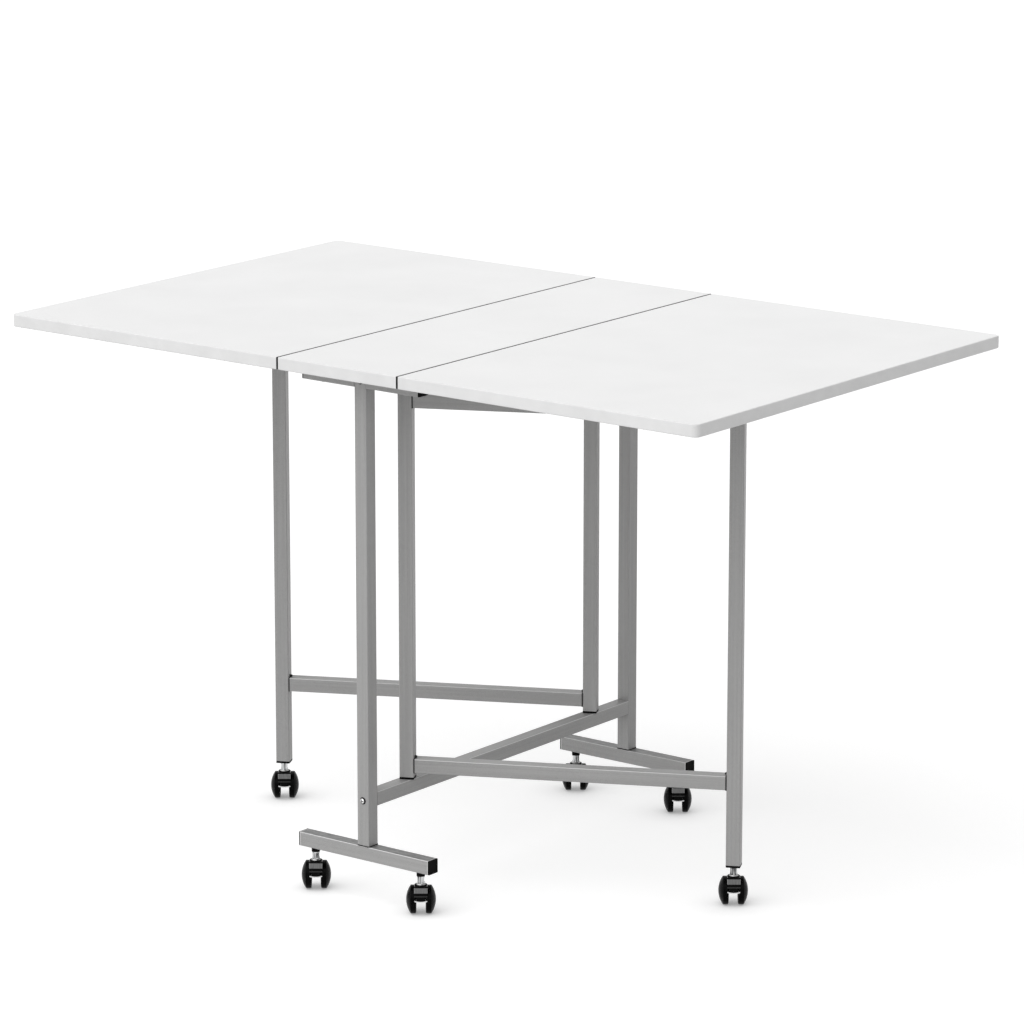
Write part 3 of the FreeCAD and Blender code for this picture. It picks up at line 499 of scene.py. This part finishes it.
SQUARE_UP = Matrix.Rotation(-GATE_ANGLE, 3, "Z")
X_TO_Z = Matrix.Rotation(math.radians(90), 3, "Y")
Y_TO_Z = Matrix.Rotation(math.radians(90), 3, "X")
SILVER_PAINTS = {
    "post": make_silver_paint("silver_posts", Matrix.Identity(3)),
    "bar": make_silver_paint("silver_bars", X_TO_Z, foot_bar=True),
    "stretcher": make_silver_paint("silver_stretchers", Y_TO_Z),
    "gate_post": make_silver_paint("silver_gate_posts", SQUARE_UP),
    "rail": make_silver_paint("silver_gate_rails", X_TO_Z @ SQUARE_UP),
}
print("Silver paints:", len(SILVER_PAINTS))

# %% [markdown]
# ## Moulded black plastic
#
# The end caps, plugs and washers are moulded with a fine leather-like grain that hides
# scratches.  The wheels are glossier, and smooth, with a trace of dust that settles in their
# gloss.  A white room brightens every black, so both colours are set very low.

# %% Black plastics
def make_black_plastic():
    """Matt black with a moulded grain."""
    material, tree, shader, place = start_finish("moulded_black", specular=0.03)
    black = blend_colours(tree, grain(tree, place, scale=60.0), grey(0.0025), grey(0.006))
    lay_skin(tree, shader, black, between(tree, grain(tree, place, scale=160.0), 0.42, 0.58))
    raise_bump(tree, shader, pebbles(tree, place, scale=1100.0), depth=0.0001)
    return material


def make_wheel_black():
    """Glossy black with a trace of dust."""
    material, tree, shader, place = start_finish("wheel_black", specular=0.035)
    dust = between(tree, grain(tree, place, scale=220.0, detail=5.0), 0.0, 1.0, (0.5, 0.8))
    black = blend_colours(tree, dust, grey(0.0012), grey(0.006, 0.03))
    lay_skin(tree, shader, black, between(tree, dust, 0.26, 0.42, FULL_SPAN))
    raise_bump(tree, shader, grain(tree, place, scale=500.0, detail=3.0), depth=0.00004)
    return material


FINISHES["black_plastic"] = make_black_plastic()
FINISHES["wheel_black"] = make_wheel_black()
print("Finishes so far:", list(FINISHES))

# %% [markdown]
# ## Rolled steel
#
# The caster brackets are rolled steel with drawn streaks, and the plate is dull.  The rib
# below it is painted near black as painted shade, and their corners and the lip at the bottom
# are painted lighter as painted highlights.  A separate material for each face would do, but
# height alone tells the plate, the rib and the lip apart.  The steel is fully metallic, as the
# chrome, the zinc and the bolts are too, so its look is in the colour, the roughness and the
# relief.

# %% Bracket steel
CASTER_HEADING = math.radians(127.5)
RIB_TOP = 0.0400
RIB_SPAN = (RIB_TOP, RIB_TOP + FINE_STEP)
LIP_TOP = 0.0301
LIP_SPAN = (LIP_TOP - FINE_STEP, LIP_TOP)
STREAK_STRETCH = (1500.0, 1500.0, 60.0)


def make_bracket_steel():
    """Dull streaked plate with a painted-shade rib, and corners and a lip painted light as painted
    highlights.
    """
    material, tree, shader, place = start_finish("bracket_steel", metallic=1.0)
    streaks = grain(tree, stretched(tree, place, STREAK_STRETCH), scale=1.0)
    height = parts_of(tree, place)["Z"]
    square_up = Matrix.Rotation(-CASTER_HEADING, 3, "Z").to_euler()
    corners = find_corners(tree, facing(tree), square_up)
    plate = blend_colours(tree, between(tree, streaks, 0.0, 1.0), grey(0.10), grey(0.19))
    # Painted shade: the rib below the plate is near black.
    plate = blend_colours(tree, between(tree, height, 1.0, 0.0, RIB_SPAN), plate, grey(0.035))
    # Painted highlight: the rounded corners are lighter.
    plate = blend_colours(tree, corners, plate, grey(0.34))
    # Painted highlight: the lip at the bottom is bright.
    plate = blend_colours(tree, between(tree, height, 1.0, 0.0, LIP_SPAN), plate, grey(0.66))
    lay_skin(tree, shader, plate, between(tree, streaks, 0.28, 0.46))
    raise_bump(tree, shader, streaks, depth=0.00004)
    return material


FINISHES["bracket_steel"] = make_bracket_steel()
print("Finishes so far:", list(FINISHES))

# %% [markdown]
# ## Chrome and zinc
#
# The casters' stems and axles are chromed over turned steel, and dark and bright bands are
# painted down the stems as painted reflections.  The hinges, screws, pins and nuts have a zinc
# coat with its cloudy colour.  Plain grey metal would do from afar, but the painted reflection
# bands and the clouds are what the eye knows each of them by.

# %% Chrome and zinc
CHROME_STRETCH = (330.0, 330.0, 18.0)


def make_chrome():
    """Polished metal with painted reflections: dark and bright bands."""
    material, tree, shader, place = start_finish("chrome", metallic=1.0)
    # Painted reflection: dark and bright bands down the stems.
    reflection_bands = grain(tree, stretched(tree, place, CHROME_STRETCH), scale=1.0)
    reflection_bands = between(tree, reflection_bands, 0.0, 1.0, (0.40, 0.58))
    smears = grain(tree, place, scale=300.0, detail=4.0)
    chrome = blend_colours(tree, reflection_bands, grey(0.06), grey(0.62, -0.01))
    lay_skin(tree, shader, chrome, between(tree, smears, 0.06, 0.18))
    raise_bump(tree, shader, grain(tree, place, scale=900.0), depth=0.00002)
    return material


def make_zinc():
    """Cloudy zinc, part bluish and part yellowish."""
    material, tree, shader, place = start_finish("zinc_steel", metallic=1.0)
    cloud = between(tree, grain(tree, place, scale=180.0, detail=4.0), 0.0, 1.0)
    zinc = blend_colours(tree, cloud, grey(0.34, -0.03), grey(0.48, 0.03))
    lay_skin(tree, shader, zinc, between(tree, cloud, 0.26, 0.44, FULL_SPAN))
    raise_bump(tree, shader, grain(tree, place, scale=1200.0), depth=0.00003)
    return material


FINISHES["chrome"] = make_chrome()
FINISHES["zinc_steel"] = make_zinc()
print("Finishes so far:", list(FINISHES))

# %% [markdown]
# ## The domed bolts
#
# The four domed bolts through the posts are bright steel on their crown, and their flank and
# cross recess are painted near black as painted shade.  Height above the post's face tells the
# crown from the flank and the recess, so one material covers both.

# %% Bolt steel
POST_FACE_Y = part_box("rear_post")[1][1]
BOLT_CROWN = 0.0024
CROWN_SPAN = (BOLT_CROWN - FINE_STEP, BOLT_CROWN)


def make_bolt_steel():
    """Bright steel on the crown, with painted shade on the flank and in the cross recess."""
    material, tree, shader, place = start_finish("bolt_steel", metallic=1.0)
    cloud = between(tree, grain(tree, place, scale=400.0, detail=3.0), 0.0, 1.0)
    height = maths(tree, "SUBTRACT", from_middle(tree, place, "Y"), POST_FACE_Y)
    polished = blend_colours(tree, cloud, grey(0.62), grey(0.80))
    crown = between(tree, height, 0.0, 1.0, CROWN_SPAN)
    # Painted shade: near black below the crown, on the flank and in the cross recess.
    colour = blend_colours(tree, crown, grey(0.02), polished)
    lay_skin(tree, shader, colour, between(tree, cloud, 0.18, 0.3, FULL_SPAN))
    raise_bump(tree, shader, grain(tree, place, scale=1400.0), depth=0.00002)
    return material


BOLT_STEEL = make_bolt_steel()
print("Finish:", BOLT_STEEL.name)

# %% [markdown]
# ## Weld steel
#
# The rails are welded to the gates' posts, and the posts to the foot bars.  The beads are
# rippled, and they are painted near black as painted shade along each joint.

# %% Weld steel
def make_weld_steel():
    """Rippled steel, painted near black as shade along the joints."""
    material, tree, shader, place = start_finish("weld_steel", metallic=0.6, specular=0.2)
    scale = grain(tree, place, scale=500.0, detail=3.0)
    # Painted shade: the beads are near black along each joint.
    dark = blend_colours(tree, between(tree, scale, 0.0, 1.0), grey(0.012), grey(0.05, 0.02))
    lay_skin(tree, shader, dark, between(tree, scale, 0.45, 0.7))
    raise_bump(tree, shader, pebbles(tree, place, scale=700.0), depth=0.0003)
    return material


WELD_STEEL = make_weld_steel()
print("Finish:", WELD_STEEL.name)

# %% [markdown]
# ## Dress the CAD pieces
#
# Every CAD piece names a finish in its record, so one table from slot to material dresses them
# all, and a piece that is added later can't be forgotten.  Only the domed bolts and the tubes
# need a second look: the end of a tube's name tells which way it lies.

# %% Assign the finishes
def choose_finish(name, slot):
    """Finish of a CAD piece, for a tube the paint of its own direction."""
    if name == "stretcher_bolts":
        return BOLT_STEEL
    if slot != "silver_paint":
        return FINISHES[slot]
    kind = name.split("_")[-1]
    if "_gate_" in name and kind == "post":
        kind = "gate_post"
    return SILVER_PAINTS[kind]


def dress_cad_pieces():
    """Gives each CAD piece its finish and returns their number."""
    slots = {part["node"]: part["material_slot"] for part in frame["record"]["subparts"]}
    for name, piece in frame["nodes"].items():
        piece.data.materials.clear()
        piece.data.materials.append(choose_finish(name, slots[name]))
        for polygon in piece.data.polygons:
            polygon.material_index = 0
    return len(frame["nodes"])


print("CAD pieces dressed:", dress_cad_pieces())

# %% [markdown]
# ## Where the joints and the casters are
#
# The new pieces are small and belong to places that the record already knows: the casters'
# swivel axes and the gates' pivots.  Reading them there, instead of typing them again, keeps
# the pieces in place when the table's size changes.

# %% Read the places
SWIVEL_ENDING = "_swivel"
JOINT_PLACES = {joint["name"]: Vector(joint["pos_m"])
                for joint in frame["record"]["behaviour"]["joints"]}
SWIVELS = {name[:-len(SWIVEL_ENDING)]: place for name, place in JOINT_PLACES.items()
           if name.endswith(SWIVEL_ENDING)}
print("Casters:", sorted(SWIVELS))

# %% [markdown]
# ## How a new piece is finished
#
# A shape that is modelled face by face can end up with some faces turned inwards, so they are
# made to agree before it becomes a mesh.  Then the piece gets its finish, and it rides on a
# body of the frame, so it moves along when a gate swings or a caster turns.

# %% Helper for new pieces
def finish_piece(shape, name, body, material):
    """Mesh object from a bmesh, with its finish, that moves with a CAD body."""
    bmesh.ops.recalc_face_normals(shape, faces=shape.faces)
    mesh = bpy.data.meshes.new(name)
    shape.to_mesh(mesh)
    shape.free()
    mesh.materials.append(material)
    piece = bpy.data.objects.new(name, mesh)
    bpy.context.scene.collection.objects.link(piece)
    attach(piece, body)
    return piece


# %% [markdown]
# ## The casters' black cores and dust rings
#
# Each bracket is bent from sheet, with an open front.  A black moulded core fills it, and its
# black also stands for the shade inside the bracket, as painted shade: one block above the
# bracket's rib and one below it, both set a little back from the front, and a hood over the
# bend at the top.  Round the collar lies a flat dust ring, which keeps fluff out of the swivel's
# bearing.
#
# A block with bevelled edges is all that a core needs.  The ring is a short outline spun round
# the swivel's axis, which is simpler than shaping a cylinder and gives a clean lip.

# %% Core blocks and dust ring
CORE_BLOCKS = {
    "hood": {"reach": (-0.0137, -0.0075), "width": 0.0234,
             "heights": (0.0524, 0.0551), "rounding": 0.0012},
    "upper": {"reach": (-0.0126, -0.0090), "width": 0.0224,
              "heights": (0.0386, 0.0433), "rounding": 0.0005},
    "lower": {"reach": (-0.0126, -0.0090), "width": 0.0158,
              "heights": (0.0275, 0.0362), "rounding": 0.0005},
}
RING_OUTLINE = [(0.0070, 0.0546), (0.0107, 0.0546), (0.0110, 0.0552), (0.0106, 0.0563),
                (0.0096, 0.0567), (0.0070, 0.0567)]
RING_STEPS = 48


def add_core_block(shape, reach, width, heights, rounding):
    """Block between two places along the caster, with its edges rounded."""
    size = Vector((reach[1] - reach[0], width, heights[1] - heights[0]))
    middle = Vector((sum(reach) / 2.0, 0.0, sum(heights) / 2.0))
    stretch = Matrix.Translation(middle) @ Matrix.Diagonal((*size, 1.0))
    corners = bmesh.ops.create_cube(shape, size=1.0, matrix=stretch)["verts"]
    edges = list(dict.fromkeys(edge for corner in corners for edge in corner.link_edges))
    bmesh.ops.bevel(shape, geom=edges, offset=rounding, offset_type="OFFSET", affect="EDGES",
                    segments=3, profile=0.5, material=-1)


def add_spun_ring(shape, outline):
    """Ring whose cross-section is the outline, given as pairs of radius and height."""
    corners = [shape.verts.new((radius, 0.0, height)) for radius, height in outline]
    edges = [shape.edges.new((corner, corners[i - 1])) for i, corner in enumerate(corners)]
    bmesh.ops.spin(shape, geom=corners + edges, cent=(0.0, 0.0, 0.0), axis=(0.0, 0.0, 1.0),
                   angle=math.tau, steps=RING_STEPS, use_merge=True, use_duplicate=False)


def finish_on_caster(shape, caster, kind):
    """Turns a shape from the caster's own frame, where it trails along +X, to its swivel."""
    ground = Vector((SWIVELS[caster].x, SWIVELS[caster].y, 0.0))
    turn = Matrix.Translation(ground) @ Matrix.Rotation(CASTER_HEADING, 4, "Z")
    bmesh.ops.transform(shape, matrix=turn, verts=shape.verts)
    return finish_piece(shape, caster + kind, caster + "_swivel_body",
                        FINISHES["black_plastic"])


def make_caster_shade_core(caster):
    """Hood and two blocks that fill a caster's bracket, black as painted shade inside it."""
    shape = bmesh.new()
    # The black blocks also stand for the shade inside the bracket: painted shade.
    for block in CORE_BLOCKS.values():
        add_core_block(shape, **block)
    return finish_on_caster(shape, caster, "_core")


def make_dust_ring(caster):
    """Flat ring round the collar of a caster's bracket."""
    shape = bmesh.new()
    add_spun_ring(shape, RING_OUTLINE)
    return finish_on_caster(shape, caster, "_dust_ring")


caster_trim = [make(caster) for caster in SWIVELS for make in (make_caster_shade_core, make_dust_ring)]
print("Cores and dust rings:", len(caster_trim))

# %% [markdown]
# ## Weld beads
#
# A bead runs round each rail where it meets its post, and round each post where it stands on
# its foot bar.  A box a little wider than the tube is bevelled like the tube, its two ends are
# inset and opened, and the openings are bridged, which leaves a thin band round the tube.

# %% Bead
TUBE_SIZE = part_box("front_post")[1][0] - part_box("front_post")[0][0]
BEAD_HEIGHT = 0.0006
BEAD_LENGTH = 0.0018
BEAD_CORNER = 0.0021


def add_bead(shape, place):
    """Thin band round a square tube that runs along the place's Z, starting at its origin."""
    width = TUBE_SIZE + 2.0 * BEAD_HEIGHT
    middle = Matrix.Translation((0.0, 0.0, BEAD_LENGTH / 2.0))
    stretch = middle @ Matrix.Diagonal((width, width, BEAD_LENGTH, 1.0))
    corners = bmesh.ops.create_cube(shape, size=1.0, matrix=stretch)["verts"]
    edges = dict.fromkeys(edge for corner in corners for edge in corner.link_edges)
    uprights = [edge for edge in edges
                if abs(edge.verts[0].co.z - edge.verts[1].co.z) > BEAD_LENGTH / 2.0]
    rounded = bmesh.ops.bevel(shape, geom=uprights, offset=BEAD_CORNER, offset_type="OFFSET",
                              affect="EDGES", segments=4, profile=0.5, material=-1)
    corners = {corner for face in rounded["faces"] for corner in face.verts}
    # The sides have four corners each, so only the two rounded ends have more.
    ends = [face for face in shape.faces if len(face.verts) > 4 and set(face.verts) <= corners]
    bmesh.ops.inset_individual(shape, faces=ends, thickness=BEAD_HEIGHT)
    openings = [edge for face in ends for edge in face.edges]
    bmesh.ops.delete(shape, geom=ends, context="FACES_ONLY")
    bmesh.ops.bridge_loops(shape, edges=openings)
    band = list(corners | {corner for edge in openings for corner in edge.verts})
    bmesh.ops.transform(shape, matrix=place, verts=band)


print("Beads fit a tube of", round(TUBE_SIZE, 5))

# %% [markdown]
# ## Tacks
#
# Before its bead is drawn, a rail is held in place by a tack: a round blob of weld in the corner
# between the rail's top and the post.  A small sphere, sunk a little into both, is enough.

# %% Tack
TACK_RADIUS = 0.0028
TACK_SHIFT = 0.6


def add_tack(shape, place):
    """Blob of weld on top of a rail that runs along the place's Z, starting at its origin."""
    along = place.to_3x3() @ Vector((0.0, 0.0, 1.0))
    up = Vector((0.0, 0.0, 1.0))
    corner = place.to_translation() + up * TUBE_SIZE / 2.0
    centre = corner + (along + up) * TACK_RADIUS * TACK_SHIFT
    blob = bmesh.ops.create_uvsphere(shape, u_segments=24, v_segments=14, radius=TACK_RADIUS,
                                     matrix=Matrix.Translation(centre))
    for face in {face for corner in blob["verts"] for face in corner.link_faces}:
        face.smooth = True


print("Tacks are sunk by", round((1.0 - TACK_SHIFT) * TACK_RADIUS, 5))

# %% [markdown]
# ## Place the welds
#
# Each gate has four welded corners, the ends of its two rails.  Working out their places where
# the gate stands would take its angle into every line.  It is easier in the gate's own frame,
# with its pivot at the origin and its rails along X, and one turn then puts them all in place.
# The posts' beads stand upright and need no turn.

# %% Weld the gates and the posts
def middle_height(node):
    """Height of the middle of a CAD piece."""
    low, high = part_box(node)
    return (low[2] + high[2]) / 2.0


def gate_weld_places(side):
    """Places of the four beads and tacks of a gate, in the gate's own frame."""
    pivot = JOINT_PLACES[side + "_gate_swing"]
    length = (JOINT_PLACES[side + "_gate_caster_swivel"] - pivot).to_2d().length
    places = []
    for rail in ("lower", "upper"):
        height = middle_height(side + "_gate_" + rail + "_rail")
        for start, along in ((TUBE_SIZE / 2.0, 90.0), (length - TUBE_SIZE / 2.0, -90.0)):
            turn = Matrix.Rotation(math.radians(along), 4, "Y")
            places.append(Matrix.Translation((start, 0.0, height)) @ turn)
    return places


def make_gate_welds(side, half_turn):
    """Beads and tacks of a gate."""
    pivot = JOINT_PLACES[side + "_gate_swing"]
    turn = Matrix.Rotation(GATE_ANGLE + half_turn, 4, "Z")
    gate = Matrix.Translation((pivot.x, pivot.y, 0.0)) @ turn
    shape = bmesh.new()
    for place in gate_weld_places(side):
        add_bead(shape, gate @ place)
        add_tack(shape, gate @ place)
    return finish_piece(shape, side + "_gate_welds", side + "_gate_body",
                        WELD_STEEL)


def make_frame_welds():
    """Beads round the feet of the two posts."""
    shape = bmesh.new()
    for end in ("front", "rear"):
        low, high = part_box(end + "_post")
        foot = Vector(((low[0] + high[0]) / 2.0, (low[1] + high[1]) / 2.0, low[2]))
        add_bead(shape, Matrix.Translation(foot))
    return finish_piece(shape, "frame_welds", "frame_body", WELD_STEEL)


welds = [make_gate_welds("right", 0.0), make_gate_welds("left", math.pi), make_frame_welds()]
print("Welds:", {piece.name: len(piece.data.polygons) for piece in welds})
